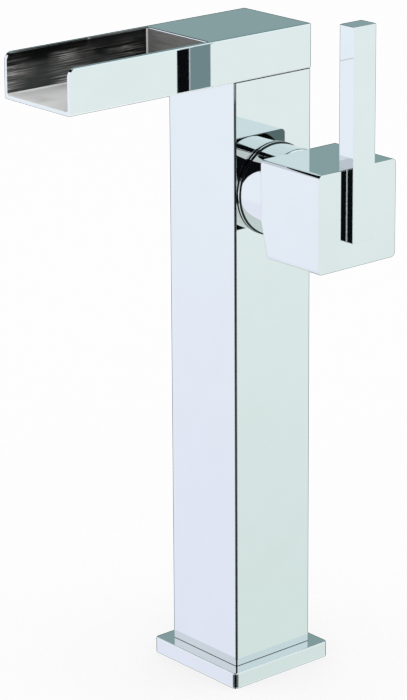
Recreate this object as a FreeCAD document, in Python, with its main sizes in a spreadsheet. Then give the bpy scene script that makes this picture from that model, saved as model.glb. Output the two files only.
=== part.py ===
import FreeCAD, Part
import Sketcher
import math
import os

# Tall single-lever basin mixer: square column on a square foot, an open waterfall trough for a spout,
# a round neck on the +X side and a cube handle with an upright bar. +Z is up, the spout points to -Y,
# and the origin is the middle of the foot's underside. Lengths are millimetres.

doc = FreeCAD.newDocument("BasinMixer")
sheet = doc.addObject("Spreadsheet::Sheet", "Sizes")

SIZES = {
    # foot
    "base_side": 57.6, "base_thick": 7.4, "base_corner": 2.0, "base_rim": 0.6, "base_bore": 34.0,
    "gasket_inset": 3.2, "gasket_width": 4.0, "gasket_thick": 2.0,
    # column
    "column_side": 45.0, "column_wall": 2.5, "column_height": 276.0, "column_edge": 0.9, "column_rim": 0.5,
    # foot plug with its inlets and stud hole
    "plug_height": 18.0, "inlet_bore": 9.0, "inlet_depth": 12.0,
    "stud_bore": 6.8, "stud_depth": 14.0, "stud_x": 9.0,
    # tubes and their round seals
    "tube_back": 7.0, "tube_y": 8.5, "tube_dia": 10.0, "tube_wall": 1.0, "tube_socket": 10.0,
    "outlet_dia": 14.0, "outlet_above": 1.2, "waterway": 7.0, "seal_section": 1.7,
    # column cap under the spout
    "cap_thick": 8.0, "screw_spread": 14.0, "screw_dia": 4.0, "screw_depth": 6.5,
    "screw_head_dia": 7.0, "screw_head_height": 2.2,
    # spout
    "spout_height": 20.4, "spout_reach": 113.8, "spout_rear": 22.9, "spout_wall": 1.7, "spout_floor": 1.7,
    "spout_edge": 0.8, "tip_round": 4.0, "trough_round": 0.9,
    "cover_front": 36.1, "cover_thick": 1.7, "cover_edge": 0.8, "slot_height": 4.6,
    # neck
    "neck_below": 51.3, "neck_dia": 41.4, "neck_wall": 1.4, "neck_shoulder": 1.2, "neck_front": 1.6,
    "mouth_room": 2.0, "ring_over": 0.6, "ring_thick": 1.8, "ring_edge": 0.7,
    "handle_gap": 17.4, "neck_gap": 1.3,
    # valve body and cartridge, counted outwards along the neck
    "valve_height": 46.0, "seat_depth": 14.5, "boss_gap": 0.8, "boss_wall": 1.5, "cartridge_dia": 34.8,
    "nut_thick": 5.0, "nut_step": 0.3, "nut_room": 0.8,
    "notch_width": 4.0, "notch_depth": 2.0, "notch_count": 6,
    "seat_thick": 4.5, "port_y": 7.0, "port_up": 4.0, "port_down": 4.5, "port_dia": 5.2, "port_seal": 1.2,
    "fixed_thick": 4.0, "fixed_room": 0.3, "moving_thick": 3.5, "moving_dia": 22.0,
    "recess_width": 16.0, "recess_low": 6.5, "recess_high": 0.9, "recess_depth": 2.0,
    "coupling_thick": 4.0, "coupling_dia": 20.0, "housing_wall": 1.7, "housing_top": 3.0,
    "flange_thick": 3.2, "flange_step": 2.3, "carrier_ahead": 4.0, "slot_wall": 3.0,
    "pivot_back": 5.9, "pin_dia": 3.0, "pin_inset": 1.0,
    "spindle_side": 8.0, "spindle_tip": 6.0, "tip_length": 5.0, "tip_depth": 2.5, "spindle_length": 22.0,
    # handle
    "cube_width": 45.8, "cube_height": 44.5, "cube_depth": 37.2, "cube_drop": 1.9, "cube_edge": 2.2,
    "cube_rim": 0.3, "cavity_dia": 41.6, "front_wall": 11.0, "relief_below": 5.4, "relief_depth": 4.6,
    "hub_side": 18.0, "hub_inset": 4.0,
    "lever_width": 12.7, "lever_depth": 9.3, "lever_proud": 4.1, "lever_above": 63.0, "lever_low": 11.8,
    "lever_edge": 0.4, "lever_screw_dia": 4.0, "lever_screw_up": 15.2, "lever_screw_y": 3.8,
    "lever_screw_bite": 5.0, "lever_head_dia": 6.8, "lever_head_height": 2.6,
    "grub_dia": 5.0, "grub_length": 5.0, "grub_access": 7.0,
    # clearances: pushed-in pieces, loose pieces, turning pieces, pin in its hole, lapped discs
    "fit": 0.2, "thread_fit": 0.05, "running": 0.4, "pin_fit": 0.06, "lap": 0.05,
}

for row, (name, size) in enumerate(SIZES.items(), start=1):
    sheet.set(f"A{row}", name)
    sheet.set(f"B{row}", str(size))
    sheet.setAlias(f"B{row}", name)
doc.recompute()


class Cells:
    """Gives each sheet cell's name in an expression: s.base_side is "Sizes.base_side"."""

    def __getattr__(self, name):
        return f"Sizes.{name}"


s = Cells()

# Places worked out from the sizes, each an expression
column_half = f"({s.column_side} / 2)"
column_inner = f"({column_half} - {s.column_wall})"
plug_half = f"({column_inner} - {s.fit})"
column_top = f"({s.base_thick} + {s.column_height})"
plug_top = f"({s.base_thick} + {s.plug_height})"
cap_bottom = f"({column_top} - {s.cap_thick})"
neck_height = f"({column_top} - {s.neck_below})"
tube_x = f"(-{s.tube_back})"
tube_radius = f"({s.tube_dia} / 2)"
outlet_radius = f"({s.outlet_dia} / 2)"
seal_radius = f"({s.seal_section} / 2)"
seal_room = f"({s.seal_section} + 2 * {s.thread_fit})"
valve_half = f"({s.valve_height} / 2)"
valve_bottom = f"({neck_height} - {valve_half})"
valve_top = f"({neck_height} + {valve_half})"
spout_top = f"({column_top} + {s.spout_height})"
trough_floor = f"({column_top} + {s.spout_floor})"
trough_half = f"({column_half} - {s.spout_wall})"
# along the neck, from the column's axis
cube_back = f"({column_half} + {s.handle_gap})"
cube_front = f"({cube_back} + {s.cube_depth})"
neck_end = f"({cube_back} - {s.neck_gap})"
ring_end = f"({column_half} + {s.ring_thick})"
boss_end = f"({neck_end} - {s.neck_front} - {s.boss_gap})"
neck_radius = f"({s.neck_dia} / 2)"
ring_radius = f"({neck_radius} + {s.ring_over})"
boss_radius = f"({neck_radius} - {s.neck_wall} - {s.fit})"
seat = f"({column_half} - {s.seat_depth})"
seat_end = f"({seat} + {s.seat_thick})"
fixed_end = f"({seat_end} + {s.fixed_thick})"
moving_start = f"({fixed_end} + {s.lap})"
moving_end = f"({moving_start} + {s.moving_thick})"
coupling_end = f"({moving_end} + {s.coupling_thick})"
flange_start = f"({coupling_end} + {s.running})"
flange_end = f"({flange_start} + {s.flange_thick})"
housing_inside = f"({flange_end} + {s.running})"
housing_end = f"({housing_inside} + {s.housing_top})"
nut_end = f"({housing_end} + {s.nut_thick})"
# the usual cartridge, or a smaller one where the boss is too slim for it
cartridge_radius = f"min({s.cartridge_dia} / 2; {boss_radius} - {s.boss_wall} - {s.fit})"
chamber_radius = f"({cartridge_radius} + {s.fit})"
nut_radius = f"({chamber_radius} + {s.nut_step})"
housing_bore = f"({cartridge_radius} - {s.housing_wall})"
fixed_radius = f"({housing_bore} - {s.fixed_room})"
flange_radius = f"({housing_bore} - {s.running})"
carrier_radius = f"({flange_radius} - {s.flange_step})"
nut_bore = f"({carrier_radius} + {s.nut_room})"
neck_mouth = f"({carrier_radius} + {s.mouth_room})"
pin_half = f"({carrier_radius} - {s.pin_inset})"
slot_half = f"({carrier_radius} - {s.slot_wall})"
pivot_x = f"({cube_back} - {s.pivot_back})"
carrier_end = f"({pivot_x} + {s.carrier_ahead})"
tip_start = f"({coupling_end} - {s.tip_depth})"
spindle_end = f"({pivot_x} + {s.spindle_length})"
# handle, measured up from the cube's middle, which is a little below the neck's axis
cube_middle = f"({neck_height} - {s.cube_drop})"
cube_half = f"({s.cube_height} / 2)"
cavity_floor = f"({cube_front} - {s.front_wall})"
lever_back = f"({cube_front} + {s.lever_proud} - {s.lever_depth})"
lever_bottom = f"({s.lever_low} - {cube_half})"
lever_top = f"({cube_half} + {s.lever_above})"
hub_start = f"({cube_back} + {s.hub_inset})"
spindle_half = f"({s.spindle_side} / 2)"


def number(expression):
    return float(sheet.evalExpression(str(expression)))


def new_body(label, height=None):
    """An empty body; with a height it is drawn about a level axis and placed at that height."""
    body = doc.addObject("PartDesign::Body", label)
    body.Label = label
    if height:
        body.setExpression("Placement.Base.z", height)
    return body


def new_sketch(body, role, start="0"):
    """A sketch on one of the body's own planes, moved along the plane's normal."""
    sketch = body.newObject("Sketcher::SketchObject", "Outline")
    plane = next(item for item in body.Origin.OriginFeatures if item.Role == role)
    sketch.AttachmentSupport = [(plane, "")]
    sketch.MapMode = "FlatFace"
    sketch.setExpression("AttachmentOffset.Base.z", start)
    return sketch


def tie(sketch, kind, edge, point, expression):
    """Hold one point of the sketch at a signed distance from the sketch's origin."""
    where = Sketcher.Constraint(kind, -1, 1, edge, point, number(expression))
    index = sketch.addConstraint(where)
    sketch.setExpression(f"Constraints[{index}]", str(expression))


def polygon(sketch, corners):
    """A closed outline of straight sides with every corner tied to the sheet."""
    points = [FreeCAD.Vector(number(u), number(v), 0) for u, v in corners]
    first = sketch.GeometryCount
    count = len(points)
    for i in range(count):
        sketch.addGeometry(Part.LineSegment(points[i], points[(i + 1) % count]))
    for i in range(count):
        sketch.addConstraint(Sketcher.Constraint("Coincident", first + i, 2, first + (i + 1) % count, 1))
    for i, (u, v) in enumerate(corners):
        tie(sketch, "DistanceX", first + i, 1, u)
        tie(sketch, "DistanceY", first + i, 1, v)


def rectangle(sketch, low_u, high_u, low_v, high_v):
    polygon(sketch, [(low_u, low_v), (high_u, low_v), (high_u, high_v), (low_u, high_v)])


def square(sketch, half):
    rectangle(sketch, f"-{half}", half, f"-{half}", half)


def circle(sketch, u, v, radius):
    centre = FreeCAD.Vector(number(u), number(v), 0)
    edge = sketch.addGeometry(Part.Circle(centre, FreeCAD.Vector(0, 0, 1), number(radius)))
    tie(sketch, "DistanceX", edge, 3, u)
    tie(sketch, "DistanceY", edge, 3, v)
    index = sketch.addConstraint(Sketcher.Constraint("Radius", edge, number(radius)))
    sketch.setExpression(f"Constraints[{index}]", str(radius))


def tip_corner(sketch, front, top, radius):
    """What a rounded upper corner leaves off: an arc closed by straight sides outside the piece."""
    inner, low = f"({front} + {radius})", f"({top} - {radius})"
    outer, high = f"({front} - {s.fit})", f"({top} + {s.fit})"
    corners = [(outer, low), (front, low), (inner, top), (inner, high), (outer, high)]
    points = [FreeCAD.Vector(number(u), number(v), 0) for u, v in corners]
    centre = FreeCAD.Vector(number(inner), number(low), 0)
    whole = Part.Circle(centre, FreeCAD.Vector(0, 0, 1), number(radius))
    sketch.addGeometry(Part.LineSegment(points[0], points[1]))
    sketch.addGeometry(Part.ArcOfCircle(whole, math.pi / 2, math.pi))
    for i in (2, 3, 4):
        sketch.addGeometry(Part.LineSegment(points[i], points[(i + 1) % 5]))
    for ends in ((0, 2, 1, 2), (1, 1, 2, 1), (2, 2, 3, 1), (3, 2, 4, 1), (4, 2, 0, 1)):
        sketch.addConstraint(Sketcher.Constraint("Coincident", *ends))
    for edge, point, u, v in ((1, 3, inner, low), (0, 1, outer, low), (0, 2, front, low),
                              (2, 2, inner, high), (3, 2, outer, high)):
        tie(sketch, "DistanceX", edge, point, u)
        tie(sketch, "DistanceY", edge, point, v)
    tie(sketch, "DistanceX", 2, 1, inner)


def volume(body):
    return body.Shape.Volume if body.Tip else 0.0


def extrude(body, sketch, length, cut=False):
    """Add or cut the sketch along its plane's normal, and make sure that it changed the solid."""
    before = volume(body)
    kind = "PartDesign::Pocket" if cut else "PartDesign::Pad"
    feature = body.newObject(kind, "Cut" if cut else "Extrusion")
    feature.Profile = sketch
    feature.setExpression("Length", length)
    feature.Reversed = cut
    doc.recompute()
    grown = volume(body) - before
    if (grown >= 0) if cut else (grown <= 0):
        raise RuntimeError(f"{body.Label}: {feature.Label} changed nothing")


def add(body, role, start, length, draw, *sizes):
    sketch = new_sketch(body, role, start)
    draw(sketch, *sizes)
    extrude(body, sketch, length)


def cut(body, role, start, length, draw, *sizes):
    sketch = new_sketch(body, role, start)
    draw(sketch, *sizes)
    extrude(body, sketch, length, cut=True)


def bore(body, start, length, u, v, radius):
    cut(body, "XY_Plane", start, length, circle, u, v, radius)


def side_bore(body, start, length, u, v, radius):
    cut(body, "YZ_Plane", start, length, circle, u, v, radius)


def turned(label, corners):
    """A body turned about the neck's axis from (along, radius) corners."""
    body = new_body(label, neck_height)
    sketch = new_sketch(body, "XZ_Plane")
    polygon(sketch, corners)
    feature = body.newObject("PartDesign::Revolution", "Turning")
    feature.Profile = sketch
    feature.ReferenceAxis = (sketch, ["H_Axis"])
    feature.Angle = 360
    doc.recompute()
    return body


def tube_profile(low, high, inner, outer):
    return [(low, inner), (high, inner), (high, outer), (low, outer)]


def blend(body, radius, chosen):
    """Round the edges that chosen(edge, box) picks."""
    base = body.Tip
    names = [f"Edge{i}" for i, edge in enumerate(base.Shape.Edges, start=1) if chosen(edge, edge.BoundBox)]
    feature = body.newObject("PartDesign::Fillet", "Rounding")
    feature.Base = (base, names)
    feature.setExpression("Radius", radius)
    doc.recompute()


def near(a, b):
    return abs(a - b) < 1e-4


def runs(box, axis):
    """True for a straight edge along the axis."""
    lengths = {"x": box.XLength, "y": box.YLength, "z": box.ZLength}
    return all((size > 1e-4) == (name == axis) for name, size in lengths.items())


def group(label, members):
    """Identical loose pieces kept as one node of separate solids."""
    whole = doc.addObject("Part::Compound", label)
    whole.Label = label
    whole.Links = members
    doc.recompute()
    return whole


def place(item, x, y, z):
    item.setExpression("Placement.Base.x", str(x))
    item.setExpression("Placement.Base.y", str(y))
    item.setExpression("Placement.Base.z", str(z))
    return item


def round_seal(inside, section, x, y, z, along_neck=False):
    """A rubber ring that just clears what it goes round."""
    ring = doc.addObject("Part::Torus", "Ring")
    ring.setExpression("Radius1", f"{inside} + {s.thread_fit} + {section} / 2")
    ring.setExpression("Radius2", f"{section} / 2")
    if along_neck:
        ring.Placement.Rotation = FreeCAD.Rotation(FreeCAD.Vector(0, 1, 0), 90)
    return place(ring, x, y, z)


def rod(radius, length, x, y, z, direction):
    """A plain cylinder that starts at x, y, z and runs along direction."""
    item = doc.addObject("Part::Cylinder", "Rod")
    item.setExpression("Radius", radius)
    item.setExpression("Height", length)
    item.Placement.Rotation = FreeCAD.Rotation(FreeCAD.Vector(0, 0, 1), direction)
    return place(item, x, y, z)


def joined(members):
    whole = doc.addObject("Part::MultiFuse", "Joined")
    whole.Shapes = members
    doc.recompute()
    return whole


def make_base_plate():
    body = new_body("base_plate")
    half = f"({s.base_side} / 2)"
    add(body, "XY_Plane", "0", s.base_thick, square, half)
    blend(body, s.base_corner, lambda edge, box: runs(box, "z"))
    blend(body, s.base_rim, lambda edge, box: near(box.ZMin, number(s.base_thick)))
    bore(body, "0", s.base_thick, "0", "0", f"{s.base_bore} / 2")
    sketch = new_sketch(body, "XY_Plane")
    square(sketch, f"({half} - {s.gasket_inset})")
    square(sketch, f"({half} - {s.gasket_inset} - {s.gasket_width})")
    extrude(body, sketch, s.gasket_thick, cut=True)
    return body


def make_base_gasket():
    body = new_body("base_gasket")
    outer = f"({s.base_side} / 2 - {s.gasket_inset} - {s.fit})"
    sketch = new_sketch(body, "XY_Plane")
    square(sketch, outer)
    square(sketch, f"({outer} + 2 * {s.fit} - {s.gasket_width})")
    extrude(body, sketch, s.gasket_thick)
    return body


def make_column_shell():
    body = new_body("column_shell")
    add(body, "XY_Plane", s.base_thick, s.column_height, square, column_half)
    blend(body, s.column_edge, lambda edge, box: runs(box, "z"))
    blend(body, s.column_rim, lambda edge, box: near(box.ZMin, number(column_top)))
    cut(body, "XY_Plane", s.base_thick, s.column_height, square, column_inner)
    side_bore(body, plug_half, f"{column_half} - {plug_half}", "0", neck_height, f"{boss_radius} + {s.fit}")
    return body


def make_foot_plug():
    body = new_body("foot_plug")
    add(body, "XY_Plane", s.base_thick, s.plug_height, square, plug_half)
    add(body, "XY_Plane", "0", s.base_thick, circle, "0", "0", f"{s.base_bore} / 2 - {s.fit}")
    bore(body, "0", s.stud_depth, s.stud_x, "0", f"{s.stud_bore} / 2")
    for y in (f"-{s.tube_y}", s.tube_y):
        bore(body, "0", s.inlet_depth, tube_x, y, f"{s.inlet_bore} / 2")
        bore(body, "0", plug_top, tube_x, y, f"{s.waterway} / 2")
        bore(body, f"{plug_top} - {s.tube_socket}", s.tube_socket, tube_x, y, f"{tube_radius} + {s.fit}")
        bore(body, f"{plug_top} - {seal_room}", seal_room, tube_x, y, f"{tube_radius} + {seal_room}")
    return body


def make_tube(label, y, radius, low, high):
    body = new_body(label)
    sketch = new_sketch(body, "XY_Plane", low)
    circle(sketch, tube_x, y, radius)
    circle(sketch, tube_x, y, f"{radius} - {s.tube_wall}")
    extrude(body, sketch, f"{high} - {low}")
    return body


def make_supply_tubes():
    low = f"({plug_top} - {s.tube_socket})"
    high = f"({valve_bottom} + {s.tube_socket})"
    hot = make_tube("hot_tube", f"-{s.tube_y}", tube_radius, low, high)
    cold = make_tube("cold_tube", s.tube_y, tube_radius, low, high)
    return [hot, cold]


def make_tube_seals():
    low = f"{plug_top} - {seal_room} + {seal_radius}"
    high = f"{valve_bottom} + {seal_room} - {seal_radius}"
    rings = []
    for y in (f"-{s.tube_y}", s.tube_y):
        for z in (low, high):
            rings.append(round_seal(tube_radius, s.seal_section, tube_x, y, z))
    return group("tube_seals", rings)


def make_valve_body():
    body = new_body("valve_body", neck_height)
    chamber_depth = f"{boss_end} - {seat}"
    way = f"{seat} + {s.tube_back}"
    add(body, "YZ_Plane", f"-{plug_half}", f"2 * {plug_half}", rectangle,
        f"-{plug_half}", plug_half, f"-{valve_half}", valve_half)
    add(body, "YZ_Plane", plug_half, f"{boss_end} - {plug_half}", circle, "0", "0", boss_radius)
    side_bore(body, seat, chamber_depth, "0", "0", chamber_radius)
    side_bore(body, housing_end, f"{boss_end} - {housing_end}", "0", "0", f"{nut_radius} + {s.thread_fit}")
    for y, port in ((f"-{s.tube_y}", f"-{s.port_y}"), (s.tube_y, s.port_y)):
        side_bore(body, tube_x, way, port, s.port_up, f"{s.port_dia} / 2")
        bore(body, f"-{valve_half}", f"{valve_half} + {s.port_up}", tube_x, y, f"{s.waterway} / 2")
        bore(body, f"-{valve_half}", s.tube_socket, tube_x, y, f"{tube_radius} + {s.fit}")
        bore(body, f"-{valve_half}", seal_room, tube_x, y, f"{tube_radius} + {seal_room}")
    side_bore(body, tube_x, way, "0", f"-{s.port_down}", f"{s.port_dia} / 2")
    bore(body, f"-{s.port_down}", f"{valve_half} + {s.port_down}", tube_x, "0", f"{s.waterway} / 2")
    bore(body, f"{valve_half} - {s.tube_socket}", s.tube_socket, tube_x, "0", f"{outlet_radius} + {s.fit}")
    bore(body, f"{valve_half} - {seal_room}", seal_room, tube_x, "0", f"{outlet_radius} + {seal_room}")
    return body


def make_outlet_tube():
    low = f"({valve_top} - {s.tube_socket})"
    high = f"({trough_floor} + {s.outlet_above})"
    return make_tube("outlet_tube", "0", outlet_radius, low, high)


def make_outlet_seals():
    heights = (f"{valve_top} - {seal_room} + {seal_radius}", f"{column_top} - {seal_room} + {seal_radius}")
    rings = [round_seal(outlet_radius, s.seal_section, tube_x, "0", z) for z in heights]
    return group("outlet_seals", rings)


def screw_places():
    spread = (f"-{s.screw_spread}", s.screw_spread)
    return [(x, y) for x in spread for y in spread]


def make_column_cap():
    body = new_body("column_cap")
    add(body, "XY_Plane", cap_bottom, s.cap_thick, square, plug_half)
    bore(body, cap_bottom, s.cap_thick, tube_x, "0", f"{outlet_radius} + {s.fit}")
    bore(body, f"{column_top} - {seal_room}", seal_room, tube_x, "0", f"{outlet_radius} + {seal_room}")
    depth = f"({s.screw_depth} + {s.fit})"
    for x, y in screw_places():
        bore(body, f"{column_top} - {depth}", depth, x, y, f"{s.screw_dia} / 2 + {s.thread_fit}")
    return body


def make_spout_body():
    """A deep square channel, closed at the rear and open along the top and at its tip."""
    body = new_body("spout_body")
    rear_inside = f"({s.spout_rear} - {s.spout_wall})"
    add(body, "XY_Plane", column_top, s.spout_height, rectangle,
        f"-{column_half}", column_half, f"-{s.spout_reach}", s.spout_rear)
    blend(body, s.column_edge, lambda edge, box: runs(box, "z") and box.YMin > 0)
    blend(body, s.spout_edge, lambda edge, box: runs(box, "y"))
    cut(body, "XY_Plane", trough_floor, s.spout_height, rectangle,
        f"-{trough_half}", trough_half, f"-({s.spout_reach} + {s.fit})", rear_inside)
    foot = number(trough_floor)
    blend(body, s.trough_round, lambda edge, box: runs(box, "y") and near(box.ZMin, foot))
    cut(body, "YZ_Plane", f"-{column_half}", s.column_side, tip_corner,
        f"(-{s.spout_reach})", spout_top, s.tip_round)
    bore(body, column_top, s.spout_floor, tube_x, "0", f"{outlet_radius} + {s.fit}")
    for x, y in screw_places():
        bore(body, column_top, s.spout_floor, x, y, f"{s.screw_dia} / 2 + {s.fit}")
    return body


def make_spout_cover():
    """The closed rear of the spout: a top plate that turns down into the wall above the water slot."""
    body = new_body("spout_cover")
    half = f"({trough_half} - {s.thread_fit})"
    rear = f"({s.spout_rear} - {s.spout_wall} - {s.thread_fit})"
    drop = f"{s.spout_height} - {s.spout_floor} - {s.slot_height}"
    add(body, "XY_Plane", f"{spout_top} - {s.cover_thick}", s.cover_thick, rectangle,
        f"-{half}", half, f"-{s.cover_front}", rear)
    add(body, "XY_Plane", f"{trough_floor} + {s.slot_height}", drop, rectangle,
        f"-{half}", half, f"-{s.cover_front}", f"{s.cover_thick} - {s.cover_front}")
    front, top = -number(s.cover_front), number(spout_top)
    blend(body, s.cover_edge,
          lambda edge, box: runs(box, "x") and near(box.YMin, front) and near(box.ZMin, top))
    return body


def make_spout_screws():
    down = FreeCAD.Vector(0, 0, -1)
    screws = []
    for x, y in screw_places():
        head = rod(f"{s.screw_head_dia} / 2", s.screw_head_height,
                   x, y, f"{trough_floor} + {s.screw_head_height}", down)
        shank = rod(f"{s.screw_dia} / 2", f"{s.spout_floor} + {s.screw_depth}", x, y, trough_floor, down)
        screws.append(joined([head, shank]))
    return group("spout_screws", screws)


def make_neck_ring():
    inside = f"({boss_radius} + {s.fit})"
    body = turned("neck_ring", tube_profile(column_half, ring_end, inside, ring_radius))
    width = 2 * number(ring_radius)
    blend(body, s.ring_edge, lambda edge, box: near(box.YLength, width))
    return body


def make_neck_cover():
    """A polished sleeve over the valve's boss, with a rounded shoulder and a mouth for the handle's stem."""
    inside = f"({boss_radius} + {s.fit})"
    lip = f"({neck_end} - {s.neck_front})"
    body = turned("neck_cover", [
        (ring_end, inside), (lip, inside), (lip, neck_mouth), (neck_end, neck_mouth),
        (neck_end, neck_radius), (ring_end, neck_radius)])
    end, width = number(neck_end), number(s.neck_dia)
    blend(body, s.neck_shoulder, lambda edge, box: near(box.XMin, end) and near(box.YLength, width))
    return body


def make_cartridge_base():
    body = turned("cartridge_base", tube_profile(seat, seat_end, "0", cartridge_radius))
    pocket = f"({s.port_dia} / 2 + {s.port_seal} + 2 * {s.thread_fit})"
    for y, z in ports():
        side_bore(body, seat, s.seat_thick, y, z, f"{s.port_dia} / 2")
        side_bore(body, seat, s.port_seal, y, z, pocket)
    return body


def ports():
    """Two inlets above the axis and one outlet below it, as (y, z) from the axis."""
    return [(f"-{s.port_y}", s.port_up), (s.port_y, s.port_up), ("0", f"-{s.port_down}")]


def make_port_seals():
    rings = []
    for y, z in ports():
        middle = f"{seat} + {s.port_seal} / 2"
        rings.append(round_seal(f"{s.port_dia} / 2", s.port_seal, middle, y, f"{neck_height} + {z}", True))
    return group("port_seals", rings)


def make_fixed_disc():
    body = turned("fixed_disc", tube_profile(seat_end, fixed_end, "0", fixed_radius))
    for y, z in ports():
        side_bore(body, seat_end, s.fixed_thick, y, z, f"{s.port_dia} / 2")
    return body


def make_moving_disc():
    """The lapped disc whose hollow joins the inlets to the outlet when it is slid up."""
    body = turned("moving_disc", tube_profile(moving_start, moving_end, "0", f"{s.moving_dia} / 2"))
    cut(body, "YZ_Plane", moving_start, s.recess_depth, rectangle,
        f"-{s.recess_width} / 2", f"{s.recess_width} / 2", f"-{s.recess_low}", s.recess_high)
    return body


def make_disc_coupling():
    body = turned("disc_coupling", tube_profile(moving_end, coupling_end, "0", f"{s.coupling_dia} / 2"))
    half_y = f"({s.spindle_tip} / 2 + {s.running})"
    half_z = f"({s.spindle_tip} / 2 + 2 * {s.running})"
    depth = f"({s.tip_depth} + 2 * {s.running})"
    cut(body, "YZ_Plane", f"{coupling_end} - {depth}", depth, rectangle,
        f"-{half_y}", half_y, f"-{half_z}", half_z)
    return body


def make_cartridge_housing():
    mouth = f"({carrier_radius} + {s.running})"
    return turned("cartridge_housing", [
        (seat_end, housing_bore), (housing_inside, housing_bore), (housing_inside, mouth),
        (housing_end, mouth), (housing_end, cartridge_radius), (seat_end, cartridge_radius)])


def make_lock_nut():
    """A threaded ring with spanner notches round its outer face."""
    body = turned("lock_nut", tube_profile(housing_end, nut_end, nut_bore, nut_radius))
    cut(body, "YZ_Plane", f"{nut_end} - {s.notch_depth}", s.notch_depth, rectangle,
        f"-{s.notch_width} / 2", f"{s.notch_width} / 2",
        f"{nut_bore} - {s.notch_depth}", f"{nut_bore} + {s.notch_depth}")
    notch = body.Tip
    pattern = body.newObject("PartDesign::PolarPattern", "Notches")
    pattern.Originals = [notch]
    axis = next(item for item in body.Origin.OriginFeatures if item.Role == "X_Axis")
    pattern.Axis = (axis, [""])
    pattern.Angle = 360
    pattern.setExpression("Occurrences", s.notch_count)
    body.Tip = pattern
    doc.recompute()
    return body


def make_rotating_carrier():
    """The turning top of the cartridge: it lets the stem tilt in its slot and carries the cross pin."""
    body = turned("rotating_carrier", [
        (flange_start, "0"), (carrier_end, "0"), (carrier_end, carrier_radius),
        (flange_end, carrier_radius), (flange_end, flange_radius), (flange_start, flange_radius)])
    half_y = f"({spindle_half} + {s.running})"
    cut(body, "YZ_Plane", flange_start, f"{carrier_end} - {flange_start}", rectangle,
        f"-{half_y}", half_y, f"-{slot_half}", slot_half)
    cut(body, "XZ_Plane", f"-{pin_half}", f"2 * {pin_half}", circle,
        pivot_x, "0", f"{s.pin_dia} / 2 + {s.thread_fit}")
    return body


def make_pivot_pin():
    pin = rod(f"{s.pin_dia} / 2", f"2 * {pin_half}", pivot_x, f"-{pin_half}", neck_height,
              FreeCAD.Vector(0, 1, 0))
    pin.Label = "pivot_pin"
    return pin


def make_spindle():
    body = new_body("spindle", neck_height)
    shoulder = f"({tip_start} + {s.tip_length})"
    tip = f"({s.spindle_tip} / 2)"
    add(body, "YZ_Plane", shoulder, f"{spindle_end} - {shoulder}", square, spindle_half)
    add(body, "YZ_Plane", tip_start, s.tip_length, square, tip)
    cut(body, "XZ_Plane", f"-{s.spindle_side}", f"2 * {s.spindle_side}", circle,
        pivot_x, "0", f"{s.pin_dia} / 2 + {s.pin_fit}")
    return body


def make_handle_block():
    """The cube: hollow behind, with a hub for the stem, a groove for the bar and a slanted lower back
    that lets it tilt over the neck."""
    body = new_body("handle_block", cube_middle)
    half_y = f"({s.cube_width} / 2)"
    add(body, "YZ_Plane", cube_back, s.cube_depth, rectangle,
        f"-{half_y}", half_y, f"-{cube_half}", cube_half)
    cut(body, "XZ_Plane", f"-{s.cube_width}", f"2 * {s.cube_width}", polygon, [
        (cube_back, f"-{s.relief_below}"), (cube_back, f"-{cube_half} - {s.fit}"),
        (f"{cube_back} + {s.relief_depth}", f"-{cube_half} - {s.fit}")])
    blend(body, s.cube_edge, lambda edge, box: runs(box, "x"))
    blend(body, s.cube_rim, lambda edge, box: not runs(box, "x"))
    side_bore(body, cube_back, f"{cavity_floor} - {cube_back}", "0", "0", f"{s.cavity_dia} / 2")
    hub_half = f"({s.hub_side} / 2)"
    hub_low = f"({s.cube_drop} - {hub_half})"
    stem = f"({spindle_half} + {s.thread_fit})"
    add(body, "YZ_Plane", hub_start, f"{cavity_floor} - {hub_start}", rectangle,
        f"-{hub_half}", hub_half, hub_low, f"{s.cube_drop} + {hub_half}")
    cut(body, "YZ_Plane", hub_start, f"{spindle_end} + {s.fit} - {hub_start}", rectangle,
        f"-{stem}", stem, f"{s.cube_drop} - {stem}", f"{s.cube_drop} + {stem}")
    groove = f"({s.lever_width} / 2 + {s.thread_fit})"
    cut(body, "YZ_Plane", lever_back, f"{s.lever_depth}", rectangle,
        f"-{groove}", groove, lever_bottom, f"{cube_half} + {s.fit}")
    for y in (f"-{s.lever_screw_y}", s.lever_screw_y):
        side_bore(body, cavity_floor, f"{lever_back} - {cavity_floor}", y, s.lever_screw_up,
                  f"{s.lever_screw_dia} / 2 + {s.fit}")
    grub_x = f"({hub_start} + {hub_half})"
    bore(body, hub_low, f"{hub_half} - {spindle_half}", grub_x, "0", f"{s.grub_dia} / 2 + {s.thread_fit}")
    bore(body, f"-{cube_half}", f"{cube_half} + {hub_low}", grub_x, "0", f"{s.grub_access} / 2")
    return body


def make_lever_bar():
    body = new_body("lever_bar", cube_middle)
    half = f"({s.lever_width} / 2)"
    add(body, "YZ_Plane", lever_back, s.lever_depth, rectangle, f"-{half}", half, lever_bottom, lever_top)
    back, low = number(lever_back), number(lever_bottom)
    blend(body, s.lever_edge, lambda edge, box: not (near(box.XMax, back) and near(box.ZMax, low)))
    for y in (f"-{s.lever_screw_y}", s.lever_screw_y):
        side_bore(body, lever_back, s.lever_screw_bite, y, s.lever_screw_up,
                  f"{s.lever_screw_dia} / 2 + {s.thread_fit}")
    return body


def make_lever_screws():
    outward = FreeCAD.Vector(1, 0, 0)
    z = f"{cube_middle} + {s.lever_screw_up}"
    screws = []
    for y in (f"-{s.lever_screw_y}", s.lever_screw_y):
        head = rod(f"{s.lever_head_dia} / 2", s.lever_head_height,
                   f"{cavity_floor} - {s.lever_head_height}", y, z, outward)
        reach = f"{lever_back} + {s.lever_screw_bite} - {s.fit} - {cavity_floor}"
        shank = rod(f"{s.lever_screw_dia} / 2", reach, cavity_floor, y, z, outward)
        screws.append(joined([head, shank]))
    return group("lever_screws", screws)


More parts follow.
